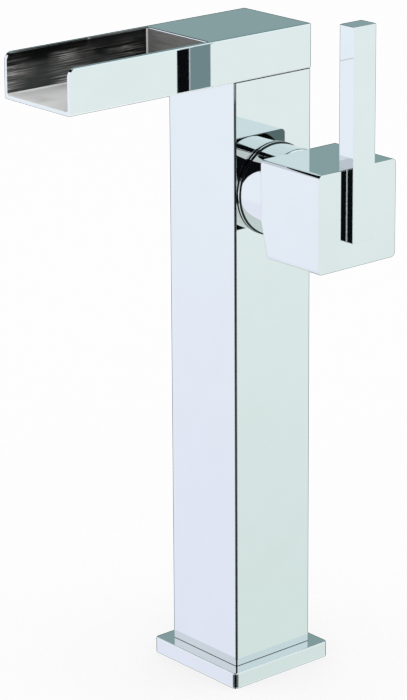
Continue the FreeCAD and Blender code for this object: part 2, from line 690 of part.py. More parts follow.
def make_grub_screw():
    screw = rod(f"{s.grub_dia} / 2", s.grub_length, f"{hub_start} + {s.hub_side} / 2", "0",
                f"{neck_height} - {spindle_half}", FreeCAD.Vector(0, 0, -1))
    screw.Label = "grub_screw"
    return screw


pieces = [
    make_base_plate(), make_base_gasket(), make_column_shell(), make_foot_plug(), *make_supply_tubes(),
    make_tube_seals(), make_valve_body(), make_outlet_tube(), make_outlet_seals(), make_column_cap(),
    make_spout_body(), make_spout_cover(), make_spout_screws(), make_neck_ring(), make_neck_cover(),
    make_cartridge_base(), make_port_seals(), make_fixed_disc(), make_moving_disc(), make_disc_coupling(),
    make_cartridge_housing(), make_lock_nut(), make_rotating_carrier(), make_pivot_pin(), make_spindle(),
    make_handle_block(), make_lever_bar(), make_lever_screws(), make_grub_screw(),
]
doc.recompute()

failed = [item.Label for item in doc.Objects if {"Invalid", "Error"} & set(item.State)]
failed += [piece.Label for piece in pieces if piece.Shape.isNull() or not piece.Shape.isValid()]
if failed:
    raise RuntimeError("failed: " + ", ".join(failed))

os.makedirs("parts", exist_ok=True)
for piece in pieces:
    piece.Shape.exportStep(f"parts/{piece.Label}.step")
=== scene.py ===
import math

import bpy
import numpy as np
from bpy.props import FloatProperty, FloatVectorProperty, PointerProperty
from mathutils import Matrix, Vector


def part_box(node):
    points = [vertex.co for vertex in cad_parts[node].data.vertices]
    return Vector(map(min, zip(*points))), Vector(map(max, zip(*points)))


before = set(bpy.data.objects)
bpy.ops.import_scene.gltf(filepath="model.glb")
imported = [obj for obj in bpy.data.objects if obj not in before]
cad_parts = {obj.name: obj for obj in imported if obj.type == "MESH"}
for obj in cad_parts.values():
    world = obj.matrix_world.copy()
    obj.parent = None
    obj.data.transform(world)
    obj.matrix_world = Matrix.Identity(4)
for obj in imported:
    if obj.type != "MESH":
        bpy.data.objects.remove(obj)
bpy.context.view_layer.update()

bl_info = {
    "name": "Basin Mixer Looks",
    "version": (1, 0, 0),
    "blender": (4, 5, 0),
    "location": "View3D > Sidebar > Mixer",
    "description": "Finishes and a small studio for a tall single-lever basin mixer",
    "category": "Material",
}

BRASS = ("foot_plug", "valve_body", "column_cap", "lock_nut", "hot_tube", "cold_tube", "outlet_tube")
STEEL = ("spout_screws", "lever_screws", "grub_screw", "pivot_pin", "spindle")
RUBBER = ("base_gasket", "tube_seals", "outlet_seals", "port_seals")
PLASTIC = ("cartridge_base", "disc_coupling", "cartridge_housing", "rotating_carrier")
CERAMIC = ("fixed_disc", "moving_disc")

SPOUT_LOW, SPOUT_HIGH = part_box("spout_body")
COVER_LOW, COVER_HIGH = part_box("spout_cover")
CUBE_LOW, CUBE_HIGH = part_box("handle_block")
LEVER_LOW, LEVER_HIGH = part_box("lever_bar")
FOOT_LOW, FOOT_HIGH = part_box("base_plate")
RING_LOW, RING_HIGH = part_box("neck_ring")

# From the cover's side to the wall, and from the spout's underside to just below the trough's floor
COVER_GAP = 0.0001
FLOOR_RISE = 0.0016

# Scale of the noise along each axis: polishing lines, brush streaks, brush patches and turning lines
HAIRLINES = (1.0, 1.0, 0.02)
STREAKS = (0.04, 0.02, 1.0)
BRUSHING = (1.0, 1.0, 2.0)
TURNING = (1.0, 0.05, 0.05)

# Noise lies mostly between these two values
NOISE_LOW, NOISE_HIGH = 0.3, 0.7

# Machined metal: patches and turning lines per metre, depth of a line in metres, darker shade, and the
# roughness of its smoothest and roughest spots against the whole
METAL_PATCHES, METAL_LINES = 120.0, 3000.0
METAL_DEPTH = 0.00002
METAL_SHADE = 0.8
METAL_SMOOTHEST, METAL_ROUGHEST = 0.7, 1.3

# Moulded stuff: the mottle's fineness and the pores' depth against the grain, darker shade, and the
# roughness of its smoothest and roughest spots against the whole
MOTTLE = 0.2
PORE_DEPTH = 0.2
MOULDED_SHADE = 0.85
MOULDED_SMOOTHEST, MOULDED_ROUGHEST = 0.85, 1.15

# Specular level of a plain surface
PLAIN_SPECULAR = 0.5

# Points of a card across and up
CARD_COLUMNS, CARD_ROWS = 25, 13


def colour(name, description, default):
    return FloatVectorProperty(name=name, description=description, default=default, subtype="COLOR",
                               size=3, min=0.0, soft_max=1.0)


def size(name, description, default):
    return FloatProperty(name=name, description=description, default=default, subtype="DISTANCE",
                         unit="LENGTH", min=0.0, precision=5)


def factor(name, description, default):
    return FloatProperty(name=name, description=description, default=default, subtype="FACTOR",
                         min=0.0, max=1.0)


class ChromeFinish(bpy.types.PropertyGroup):
    """Mirror-polished chrome plate, with painted shade in its joints and painted highlights on its edges.
    """

    tint: colour("Tint", "Reflected colour of the plate", (0.735, 0.755, 0.765))
    warm: colour("Warm tint", "Reflected colour where the plate is a little thinner", (0.725, 0.74, 0.745))
    clear: factor("Clear", "Roughness of the best polished spots", 0.012)
    hazy: factor("Hazy", "Roughness of the least polished spots", 0.03)
    patch: size("Patch", "Width of a patch of even polish", 0.022)
    hairline: size("Hairline", "Width of a polishing line", 0.0003)
    depth: size("Depth", "Depth of a polishing line", 0.0000004)
    # Joints: a dark, matt strip in the plate, painted as the shade in the gap where two pieces meet
    joint: size("Joint", "Width of the dull joint where two pieces meet", 0.00022)
    gap: size("Ring joint", "Width of the dull joint on each side of the neck's ring", 0.00056)
    darkened: colour("Dull joint", "Colour of a joint", (0.03, 0.034, 0.035))
    matt: factor("Matt joint", "Roughness of a joint", 0.4)
    # Pale matt colour on sharp edges: a painted highlight, standing in for the light the chrome reflects
    # there
    painted_light: colour("Worn edge", "Colour of a sharp edge that lost its mirror", (0.74, 0.82, 0.86))
    edge: size("Edge", "Width of a worn edge", 0.0004)
    highlight_rough: factor("Scuffed edge", "Roughness of a worn edge", 0.35)


class TroughFinish(bpy.types.PropertyGroup):
    """Brushed plate inside the trough, where the polishing wheel doesn't reach, with painted shade on its
    walls and painted light on its floor, end wall and corners, and painted highlights on the spout's lower
    edges.
    """

    # The trough's plate is painted with its light and shade: a near-black wall as painted shade, a grey end
    # wall, a light floor as painted light
    dark: colour("Wall", "Reflected colour of the wall", (0.065, 0.071, 0.070))
    light: colour("Streak", "Colour along a brush streak", (0.40, 0.38, 0.365))
    end: colour("End wall", "Colour of the wall below the cover", (0.23, 0.228, 0.224))
    # Light floor colour: painted light on the trough's floor
    lit_bed: colour("Floor colour", "Colour of the brushed floor", (0.84, 0.85, 0.84))
    # Light line in the trough's corners at the cover's wall: a painted highlight
    seam: colour("Seam", "Colour of the seam between the cover and the walls", (0.85, 0.86, 0.86))
    rough: factor("Rough", "Roughness of the wall", 0.10)
    matt: factor("Matt", "Added roughness of streaks, floor, end wall, seam and worn edges", 0.3)
    streak: size("Streak width", "Width of a brush streak", 0.0007)
    onset: factor("Onset", "Level of the noise where a streak starts", 0.44)
    contrast: FloatProperty(name="Contrast", description="How sharply a streak stands out", default=5.0,
                            min=0.0)
    soft: factor("Soft", "Softness of a streak's sides", 0.05)
    grain: factor("Grain", "Share of dark lines on the end wall", 0.5)
    wear: factor("Wear", "Share of the streaks that shows on the floor", 0.4)
    patch: size("Patch", "Length of a patch of even brushing", 0.016)
    least: factor("Least", "Pressure of the brush between patches", 0.05)
    most: factor("Most", "Pressure of the brush on a patch", 0.95)
    stroke: size("Stroke", "Distance between two strokes of the brush", 0.035)
    swing: factor("Swing", "How much the pressure changes over a stroke", 0.45)
    lead: size("Lead", "Distance of the first stroke from the end wall", 0.008)
    start: size("Start", "Depth below the rim where the brush starts to press", 0.0015)
    rise: size("Rise", "Depth below the rim where the brush presses fully", 0.006)
    rim: size("Rim", "Polished strip below the rim and at the closed end", 0.0008)
    margin: size("Margin", "How far the end wall's finish reaches in front of it", 0.0003)
    # Pale matt lower edges of the spout: painted highlights
    edge: size("Edge", "Width of the worn lower edges", 0.0008)
    edge_highlight: colour("Pale edge", "Colour of the worn lower edges", (0.88, 0.93, 0.95))
    half: size("Half width", "Half the width inside the trough", COVER_HIGH.x + COVER_GAP)
    floor: size("Floor", "Height just below the trough's floor", SPOUT_LOW.z + FLOOR_RISE)
    bend: size("Bend", "Height of the bend between floor and wall", 0.0008)
    bead: size("Bead", "Half the width of the seam", 0.0006)


class CubeFinish(bpy.types.PropertyGroup):
    """The cube's darker back, and the black shade painted in and round its hollow."""

    back: colour("Back", "Reflected colour of the back", (0.40, 0.425, 0.415))
    rough: factor("Rough", "Roughness of the back", 0.06)
    # Black in and round the hollow: painted shade of the gap round the neck
    hollow_shade: colour("Bare", "Colour of the casting in the hollow", (0.006, 0.006, 0.0065))
    hollow: size("Hollow", "Radius of the bare casting in and round the hollow", 0.0245)
    wall: size("Wall", "Thickness of the front wall", 0.0105)
    # Roughness of the painted black shade in the hollow
    matt: factor("Matt", "Roughness of the bare casting", 0.5)
    # Width of the pale strips on the upright edges: painted highlights
    rim: size("Rim", "Width of the worn upright edges", 0.0003)
    margin: size("Margin", "Depth of the back's finish", 0.0003)
    slant: size("Slant", "Depth of the slanted lower back", 0.0046)
    start: size("Start", "Where the slant starts below the cube's middle", 0.0054)


class InnerFinishes(bpy.types.PropertyGroup):
    """Finishes of the waterway, the cartridge and the fasteners."""

    brass: colour("Brass", "Machined brass", (0.72, 0.56, 0.28))
    steel: colour("Steel", "Plain stainless steel", (0.60, 0.61, 0.62))
    rubber: colour("Rubber", "Moulded rubber", (0.035, 0.035, 0.037))
    plastic: colour("Plastic", "Moulded off-white plastic", (0.80, 0.80, 0.76))
    ceramic: colour("Ceramic", "Lapped ceramic", (0.86, 0.85, 0.80))
    brass_rough: factor("Rough brass", "Roughness of the brass", 0.3)
    steel_rough: factor("Rough steel", "Roughness of the steel", 0.25)
    rubber_rough: factor("Rough rubber", "Roughness of the rubber", 0.6)
    plastic_rough: factor("Rough plastic", "Roughness of the plastic", 0.4)
    ceramic_rough: factor("Rough ceramic", "Roughness of the ceramic", 0.2)
    rubber_grain: size("Rubber grain", "Width of the rubber's grain", 0.0004)
    plastic_grain: size("Plastic grain", "Width of the plastic's grain", 0.0006)
    ceramic_grain: size("Ceramic grain", "Width of the ceramic's grain", 0.0002)


class StudioSetup(bpy.types.PropertyGroup):
    """Floor, cards and camera."""

    floor: size("Floor", "Half the floor's width", 4.0)
    floor_white: colour("Floor white", "Colour of the floor", (0.9, 0.9, 0.9))
    floor_rough: factor("Floor rough", "Roughness of the floor", 0.8)
    floor_grain: size("Floor grain", "Width of the floor's grain", 0.002)
    floor_glow: FloatProperty(name="Floor glow", description="Light of the floor itself", default=2.0,
                              min=0.0)
    far: size("Cards", "Distance of the cards from the tap", 20.0)
    centre: FloatVectorProperty(name="Centre", description="Middle of the cards", subtype="TRANSLATION",
                                unit="LENGTH", default=(0.0, 0.0, 0.2))
    fade: FloatVectorProperty(name="Fade", description="Tilts between which the side cards fade", size=2,
                              unit="ROTATION", default=(math.radians(-23), math.radians(-13)))
    left_low: colour("Left card", "Left card at its foot", (0.827, 0.856, 0.973))
    left_high: colour("Left card top", "Left card from the middle up", (0.875, 0.93, 1.0))
    right_low: colour("Right card", "Right card at its foot", (0.722, 0.832, 0.799))
    right_mid: colour("Right card middle", "Right card at the middle", (0.827, 0.909, 0.90))
    right_high: colour("Right card top", "Upper part of the right card", (0.826, 0.972, 0.996))
    rear_low: colour("Rear card", "Lower part of the card behind the tap", (0.235, 0.345, 0.360))
    rear_high: colour("Rear card top", "Upper part of the card behind the tap", (0.240, 0.348, 0.355))
    low: colour("Low card", "Pale card far below the tap", (0.78, 0.87, 0.85))
    dark: colour("Dark card", "Dark cards on the camera's side and overhead", (0.004, 0.005, 0.006))
    haze: colour("Haze", "Pale cards low on the camera's side", (0.55, 0.60, 0.60))
    glow: colour("Glow", "Small light card high beside the camera", (0.72, 0.80, 0.78))
    slit: colour("Slit", "Slim light card beside the camera", (1.19, 1.25, 1.33))
    level: FloatProperty(name="Level", description="Brightness of the cards", default=1.21, min=0.0)
    camera: FloatVectorProperty(name="Camera", description="Place of the camera", subtype="TRANSLATION",
                                unit="LENGTH", default=(0.98969, -0.86717, 0.58692))
    aim: FloatVectorProperty(name="Aim", description="Camera's turn, tilt and roll", subtype="EULER",
                             unit="ROTATION",
                             default=(math.radians(49.492), math.radians(-15.694), math.radians(-0.342)))
    lens: FloatProperty(name="Lens", description="Focal length in millimetres", default=155.363, min=1.0)
    sensor: FloatProperty(name="Sensor", description="Size of the picture plane in millimetres",
                          default=36.0, min=1.0)
    rise: FloatProperty(name="Rise", description="Upright shift of the picture", default=-0.2)


def shader_node(tree, kind, sockets=None, **settings):
    """Add a node; sockets takes a number, a colour or another node's output for each input."""
    node = tree.nodes.new(kind)
    for key, value in settings.items():
        setattr(node, key, value)
    for key, value in (sockets or {}).items():
        if isinstance(value, bpy.types.NodeSocket):
            tree.links.new(value, node.inputs[key])
        else:
            node.inputs[key].default_value = value
    return node


def opaque(rgb):
    return (*rgb, 1.0)


def new_material(name):
    material = bpy.data.materials.new(name)
    material.use_nodes = True
    tree = material.node_tree
    tree.nodes.clear()
    surface = shader_node(tree, "ShaderNodeBsdfPrincipled")
    shader_node(tree, "ShaderNodeOutputMaterial", {"Surface": surface.outputs[0]})
    return material, tree, surface


def place_coordinates(tree, stretch=(1.0, 1.0, 1.0)):
    """The piece's own place in metres, stretched along each axis."""
    place = shader_node(tree, "ShaderNodeTexCoord").outputs["Object"]
    return shader_node(tree, "ShaderNodeMapping", {"Vector": place, "Scale": stretch}).outputs[0]


def noise(tree, vector, scale, detail=3.0, rough=0.5):
    return shader_node(tree, "ShaderNodeTexNoise", {"Vector": vector, "Scale": scale, "Detail": detail,
                                                    "Roughness": rough}).outputs["Fac"]


def spread(tree, value, low, high):
    """Noise spread over low to high."""
    return shader_node(tree, "ShaderNodeMapRange", {"Value": value, "From Min": NOISE_LOW,
                                                    "From Max": NOISE_HIGH, "To Min": low,
                                                    "To Max": high}).outputs[0]


def blend_colours(tree, share, first, second):
    """Mix of two colours, which go into the mix node's sockets 6 and 7 and come out of socket 2."""
    sockets = {0: share, 6: first, 7: second}
    return shader_node(tree, "ShaderNodeMix", sockets, data_type="RGBA").outputs[2]


def calculate(tree, operation, *values):
    return shader_node(tree, "ShaderNodeMath", dict(enumerate(values)), operation=operation).outputs[0]


def bump(tree, height, distance, strength):
    return shader_node(tree, "ShaderNodeBump", {"Height": height, "Distance": distance,
                                                "Strength": strength}).outputs[0]


def polish(tree, finish):
    """Colour, roughness and normal of the mirror plate: broad patches of polish and fine hairlines."""
    place = place_coordinates(tree)
    patch = noise(tree, place, 1.0 / finish.patch, detail=4.0, rough=0.55)
    tint = blend_colours(tree, spread(tree, patch, 0.0, 1.0), opaque(finish.tint), opaque(finish.warm))
    rough = spread(tree, patch, finish.clear, finish.hazy)
    lines = noise(tree, place_coordinates(tree, HAIRLINES), 1.0 / finish.hairline, detail=2.0)
    return tint, rough, bump(tree, lines, finish.depth, strength=0.3)


def beyond(tree, place, axis, middle, half):
    """1 where the place lies further than half from the middle along an axis, else 0."""
    part = shader_node(tree, "ShaderNodeSeparateXYZ", {0: place}).outputs[axis]
    away = calculate(tree, "ABSOLUTE", calculate(tree, "SUBTRACT", part, middle["XYZ".index(axis)]))
    return calculate(tree, "GREATER_THAN", away, half)


def near_edges(tree, low, high, pairs, width):
    """1 within a width of the box's edges where the two named axes' faces meet, else 0."""
    place = shader_node(tree, "ShaderNodeTexCoord").outputs["Object"]
    middle, half = (low + high) / 2, (high - low) / 2
    near = {axis: beyond(tree, place, axis, middle, half["XYZ".index(axis)] - width)
            for axis in sorted(set("".join(pairs)))}
    edges = [calculate(tree, "MULTIPLY", near[first], near[second]) for first, second in pairs]
    return edges[0] if len(edges) == 1 else calculate(tree, "MAXIMUM", *edges)


def chrome_material(name, finish, low=None, high=None, pairs=()):
    """Mirror chrome, with a pale matt strip painted as a highlight along the box's edges that are named as
    pairs of axes.
    """
    material, tree, surface = new_material(name)
    tint, rough, normal = polish(tree, finish)
    if pairs:
        # pale matt strip along the named edges: a painted highlight
        painted_light = near_edges(tree, low, high, pairs, finish.edge)
        tint = blend_colours(tree, painted_light, tint, opaque(finish.painted_light))
        rough = calculate(tree, "MAXIMUM", rough, calculate(tree, "MULTIPLY", painted_light, finish.highlight_rough))
        tree.links.new(calculate(tree, "SUBTRACT", 1.0, painted_light), surface.inputs["Metallic"])
    else:
        surface.inputs["Metallic"].default_value = 1.0
    tree.links.new(tint, surface.inputs["Base Color"])
    tree.links.new(rough, surface.inputs["Roughness"])
    tree.links.new(normal, surface.inputs["Normal"])
    return material


def jointed_material(name, finish, axis, middle, half):
    """Chrome with thin dark joints, painted as the shade in the gap where two pieces meet: further than
    half from the middle along an axis, the plate is dark.
    """
    material, tree, surface = new_material(name)
    surface.inputs["Metallic"].default_value = 1.0
    tint, rough, normal = polish(tree, finish)
    place = shader_node(tree, "ShaderNodeTexCoord").outputs["Object"]
    # the dark joint strip is painted shade of the gap
    joint = beyond(tree, place, axis, middle, half)
    tree.links.new(blend_colours(tree, joint, tint, opaque(finish.darkened)), surface.inputs["Base Color"])
    tree.links.new(calculate(tree, "MAXIMUM", rough, calculate(tree, "MULTIPLY", joint, finish.matt)),
                   surface.inputs["Roughness"])
    tree.links.new(normal, surface.inputs["Normal"])
    return material


def trough_material(finish, inside):
    """Chrome outside with pale lower edges painted as highlights; inside the trough walls painted dark as
    shade with light brush streaks, a light floor and grey end wall painted as their light and shade, and a
    painted highlight where the cover's wall meets the sides.

    The brush presses harder at each stroke, and less towards the rim: press = ramp * max(0, patches +
    swing * cos(2 pi (lead + y - end) / stroke)). A streak is press * max(0, contrast * (noise - onset))."""
    material, tree, surface = new_material("spout_chrome")
    tint, rough, normal = polish(tree, finish)
    place = shader_node(tree, "ShaderNodeTexCoord").outputs["Object"]
    axes = shader_node(tree, "ShaderNodeSeparateXYZ", {0: place}).outputs
    across = calculate(tree, "ABSOLUTE", axes["X"])
    above = calculate(tree, "GREATER_THAN", axes["Z"], inside.floor)
    below = calculate(tree, "LESS_THAN", axes["Z"], SPOUT_HIGH.z - inside.rim)
    ahead = calculate(tree, "LESS_THAN", axes["Y"], SPOUT_HIGH.y - inside.rim)
    within = calculate(tree, "MULTIPLY", calculate(tree, "LESS_THAN", across, inside.half), ahead)
    within = calculate(tree, "MULTIPLY", within, calculate(tree, "MULTIPLY", above, below))
    flat = calculate(tree, "LESS_THAN", axes["Z"], inside.floor + inside.bend)
    lines = noise(tree, place_coordinates(tree, STREAKS), 1.0 / inside.streak, detail=4.0, rough=0.7)
    lines = calculate(tree, "MULTIPLY_ADD", lines, inside.contrast, -inside.contrast * inside.onset)
    lines = calculate(tree, "SMOOTH_MAX", lines, 0.0, inside.soft)
    patches = noise(tree, place_coordinates(tree, BRUSHING), 1.0 / inside.patch, detail=2.0)
    turn = 2.0 * math.pi / inside.stroke
    swing = calculate(tree, "MULTIPLY_ADD", axes["Y"], turn, turn * (inside.lead - COVER_LOW.y))
    swing = calculate(tree, "MULTIPLY", calculate(tree, "COSINE", swing), inside.swing)
    press = calculate(tree, "ADD", swing, spread(tree, patches, inside.least, inside.most))
    ramp = shader_node(tree, "ShaderNodeMapRange", {"Value": axes["Z"],
                                                    "From Min": SPOUT_HIGH.z - inside.start,
                                                    "From Max": SPOUT_HIGH.z - inside.rise}).outputs[0]
    press = calculate(tree, "MULTIPLY", calculate(tree, "MAXIMUM", press, 0.0), ramp)
    streaks = calculate(tree, "MINIMUM", calculate(tree, "MULTIPLY", lines, press), 1.0)
    # dark wall with light streaks: the dark is painted shade of the trough
    wall = blend_colours(tree, streaks, opaque(inside.dark), opaque(inside.light))
    # grey end wall below the cover: a painted tone standing for its light and shade
    end = calculate(tree, "GREATER_THAN", axes["Y"], COVER_LOW.y - inside.margin)
    grain = calculate(tree, "MULTIPLY", calculate(tree, "MINIMUM", lines, 1.0), inside.grain)
    grained = blend_colours(tree, grain, opaque(inside.end), opaque(inside.dark))
    wall = blend_colours(tree, end, wall, grained)
    # light floor colour: painted light on the trough's floor
    painted_light = blend_colours(tree, calculate(tree, "MULTIPLY", streaks, inside.wear), opaque(inside.lit_bed),
                         opaque(inside.light))
    # light line where the cover's wall meets the sides: a painted highlight
    aside = calculate(tree, "GREATER_THAN", across, COVER_HIGH.x - inside.bead)
    at_cover = calculate(tree, "COMPARE", axes["Y"], COVER_LOW.y, inside.bead)
    corner = calculate(tree, "MULTIPLY", aside, at_cover)
    brushed = blend_colours(tree, corner, blend_colours(tree, flat, wall, painted_light), opaque(inside.seam))
    matt = calculate(tree, "MAXIMUM", calculate(tree, "MAXIMUM", corner, end),
                     calculate(tree, "MAXIMUM", streaks, flat))
    matt = calculate(tree, "MULTIPLY", within, matt)
    # pale matt strip on the spout's lower edges: a painted highlight
    edges = calculate(tree, "MULTIPLY", near_edges(tree, SPOUT_LOW, SPOUT_HIGH, ("XZ",), inside.edge),
                      calculate(tree, "LESS_THAN", axes["Z"], inside.floor))
    outside = blend_colours(tree, edges, tint, opaque(inside.edge_highlight))
    matt = calculate(tree, "MAXIMUM", matt, edges)
    tree.links.new(blend_colours(tree, within, outside, brushed), surface.inputs["Base Color"])
    tree.links.new(calculate(tree, "SUBTRACT", 1.0, matt), surface.inputs["Metallic"])
    satin = calculate(tree, "MULTIPLY", within, inside.rough)
    satin = calculate(tree, "MULTIPLY_ADD", matt, inside.matt, satin)
    tree.links.new(calculate(tree, "MAXIMUM", rough, satin), surface.inputs["Roughness"])
    tree.links.new(normal, surface.inputs["Normal"])
    return material


def cube_material(finish, cube):
    """Chrome outside with painted highlights on its upright edges and along the groove, a darker back, and
    black shade painted in and round the hollow.

    With x, y, z from the middle of the back: the back is x < slant * max(0, -z - start) / (half - start) +
    margin, and the hollow is y * y + z * z < hollow * hollow up to the front wall, short of the outer
    faces."""
    material, tree, surface = new_material("cube_chrome")
    tint, rough, normal = polish(tree, finish)
    middle = (CUBE_LOW + CUBE_HIGH) / 2
    place = shader_node(tree, "ShaderNodeTexCoord").outputs["Object"]
    shift = (-CUBE_LOW.x, -middle.y, -middle.z)
    place = shader_node(tree, "ShaderNodeMapping", {"Vector": place, "Location": shift}).outputs[0]
    axes = shader_node(tree, "ShaderNodeSeparateXYZ", {0: place}).outputs
    below = calculate(tree, "MAXIMUM", calculate(tree, "SUBTRACT", -cube.start, axes["Z"]), 0.0)
    slope = cube.slant / (CUBE_HIGH.z - middle.z - cube.start)
    limit = calculate(tree, "MULTIPLY_ADD", below, slope, cube.margin)
    behind = calculate(tree, "LESS_THAN", axes["X"], limit)
    flat = shader_node(tree, "ShaderNodeVectorMath", {0: place, 1: (0.0, 1.0, 1.0)}, operation="MULTIPLY")
    reach = shader_node(tree, "ShaderNodeVectorMath", {0: flat.outputs[0]}, operation="LENGTH")
    depth = CUBE_HIGH.x - CUBE_LOW.x - cube.wall
    # black disc in and round the hollow: painted shade
    hollow = calculate(tree, "MULTIPLY", calculate(tree, "LESS_THAN", reach.outputs["Value"], cube.hollow),
                       calculate(tree, "LESS_THAN", axes["X"], depth))
    for axis, half in (("Y", CUBE_HIGH.y - middle.y), ("Z", CUBE_HIGH.z - middle.z)):
        away = calculate(tree, "ABSOLUTE", axes[axis])
        hollow = calculate(tree, "MULTIPLY", hollow, calculate(tree, "LESS_THAN", away, half - cube.rim))
    # pale strip along the groove beside the lever: a painted highlight of a rounded edge
    front = calculate(tree, "COMPARE", axes["X"], CUBE_HIGH.x - CUBE_LOW.x, finish.edge)
    beside = calculate(tree, "COMPARE", axes["Y"], LEVER_LOW.y, finish.edge)
    upper = calculate(tree, "GREATER_THAN", axes["Z"], LEVER_LOW.z - middle.z)
    groove = calculate(tree, "MULTIPLY", front, calculate(tree, "MULTIPLY", beside, upper))
    painted_light = calculate(tree, "MAXIMUM", groove, near_edges(tree, CUBE_LOW, CUBE_HIGH, ("XY",), cube.rim))
    outside = blend_colours(tree, painted_light, tint, opaque(finish.painted_light))
    darkened = blend_colours(tree, behind, outside, opaque(cube.back))
    tree.links.new(blend_colours(tree, hollow, darkened, opaque(cube.hollow_shade)), surface.inputs["Base Color"])
    satin = calculate(tree, "MAXIMUM", rough, calculate(tree, "MULTIPLY", behind, cube.rough))
    satin = calculate(tree, "MAXIMUM", satin, calculate(tree, "MULTIPLY", painted_light, finish.highlight_rough))
    tree.links.new(calculate(tree, "MAXIMUM", satin, calculate(tree, "MULTIPLY", hollow, cube.matt)),
                   surface.inputs["Roughness"])
    tree.links.new(calculate(tree, "SUBTRACT", 1.0, calculate(tree, "MAXIMUM", hollow, painted_light)),
                   surface.inputs["Metallic"])
    tree.links.new(calculate(tree, "MULTIPLY_ADD", hollow, -PLAIN_SPECULAR, PLAIN_SPECULAR),
                   surface.inputs["Specular IOR Level"])
    tree.links.new(normal, surface.inputs["Normal"])
    return material


def metal_material(name, rgb, rough):
    """Machined metal: fine turning lines, and a tint that drifts a little."""
    material, tree, surface = new_material(name)
    surface.inputs["Metallic"].default_value = 1.0
    place = place_coordinates(tree)
    drift = noise(tree, place, METAL_PATCHES, detail=4.0)
    darker = tuple(METAL_SHADE * part for part in rgb)
    tree.links.new(blend_colours(tree, spread(tree, drift, 0.0, 1.0), opaque(rgb), opaque(darker)),
                   surface.inputs["Base Color"])
    lines = noise(tree, place_coordinates(tree, TURNING), METAL_LINES, detail=2.0)
    tree.links.new(spread(tree, lines, METAL_SMOOTHEST * rough, METAL_ROUGHEST * rough),
                   surface.inputs["Roughness"])
    tree.links.new(bump(tree, lines, METAL_DEPTH, strength=0.4), surface.inputs["Normal"])
    return material


def moulded_material(name, rgb, rough, grain):
    """Moulded or lapped stuff: a fine grain in the surface and a faint mottle in the colour."""
    material, tree, surface = new_material(name)
    place = place_coordinates(tree)
    mottle = noise(tree, place, MOTTLE / grain)
    darker = tuple(MOULDED_SHADE * part for part in rgb)
    tree.links.new(blend_colours(tree, spread(tree, mottle, 0.0, 1.0), opaque(rgb), opaque(darker)),
                   surface.inputs["Base Color"])
    pores = noise(tree, place, 1.0 / grain, detail=2.0)
    tree.links.new(spread(tree, pores, MOULDED_SMOOTHEST * rough, MOULDED_ROUGHEST * rough),
                   surface.inputs["Roughness"])
    tree.links.new(bump(tree, pores, PORE_DEPTH * grain, strength=0.5), surface.inputs["Normal"])
    return material


def finish_nodes(names, material):
    """Give CAD nodes their finish."""
    for name in names:
        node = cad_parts[name]
        node.data.materials.clear()
        node.data.materials.append(material)


def card_mesh(name, turn, tilt, distance, centre):
    """Part of a sphere about the centre: point = centre + distance * (cos tilt cos turn, cos tilt sin turn,
    sin tilt), on a grid of turn and tilt angles in degrees."""
    turns, tilts = np.meshgrid(np.radians(np.linspace(*turn, CARD_COLUMNS)),
                               np.radians(np.linspace(*tilt, CARD_ROWS)))
    level = np.cos(tilts)
    points = np.stack([level * np.cos(turns), level * np.sin(turns), np.sin(tilts)], axis=-1)
    points = np.asarray(centre) + distance * points.reshape(-1, 3)
    index = np.arange(CARD_ROWS * CARD_COLUMNS).reshape(CARD_ROWS, CARD_COLUMNS)
    faces = np.stack([index[:-1, :-1], index[1:, :-1], index[1:, 1:], index[:-1, 1:]], axis=-1)
    mesh = bpy.data.meshes.new(name)
    mesh.from_pydata(points.tolist(), [], faces.reshape(-1, 4).tolist())
    return mesh


def new_object(name, data):
    item = bpy.data.objects.new(name, data)
    bpy.context.scene.collection.objects.link(item)
    return item


def glow_material(name, low, high, fade, strength):
    """Even light, which fades from the low to the high colour between two heights."""
    material = bpy.data.materials.new(name)
    material.use_nodes = True
    tree = material.node_tree
    tree.nodes.clear()
    place = shader_node(tree, "ShaderNodeTexCoord").outputs["Object"]
    height = shader_node(tree, "ShaderNodeSeparateXYZ", {0: place}).outputs["Z"]
    share = shader_node(tree, "ShaderNodeMapRange", {"Value": height, "From Min": fade[0],
                                                     "From Max": fade[1]})
    rgb = blend_colours(tree, share.outputs[0], opaque(low), opaque(high))
    glow = shader_node(tree, "ShaderNodeEmission", {"Color": rgb, "Strength": strength})
    shader_node(tree, "ShaderNodeOutputMaterial", {"Surface": glow.outputs[0]})
    return material


class MIXER_OT_neck(bpy.types.Operator):
    """Mirror chrome on the neck and its ring, with a dark joint painted as shade on each side of the ring.
    """

    bl_idname = "mixer.neck"
    bl_label = "Neck"

    def execute(self, context):
        finish = context.scene.mixer_chrome
        half = (RING_HIGH.x - RING_LOW.x) / 2 - finish.gap
        ring = jointed_material("ring_chrome", finish, "X", (RING_LOW + RING_HIGH) / 2, half)
        finish_nodes(("neck_ring",), ring)
        finish_nodes(("neck_cover",), chrome_material("neck_chrome", finish))
        return {"FINISHED"}


class MIXER_OT_lever(bpy.types.Operator):
    """Mirror chrome on the lever, with painted highlights on its upright edges."""

    bl_idname = "mixer.lever"
    bl_label = "Lever"

    def execute(self, context):
        finish = context.scene.mixer_chrome
        material = chrome_material("lever_chrome", finish, LEVER_LOW, LEVER_HIGH, ("XY",))
        finish_nodes(("lever_bar",), material)
        return {"FINISHED"}


class MIXER_OT_foot(bpy.types.Operator):
    """Mirror chrome on the foot, with painted highlights on its upper edges."""

    bl_idname = "mixer.foot"
    bl_label = "Foot"

    def execute(self, context):
        finish = context.scene.mixer_chrome
        material = chrome_material("foot_chrome", finish, FOOT_LOW, FOOT_HIGH, ("XZ", "YZ"))
        finish_nodes(("base_plate",), material)
        return {"FINISHED"}


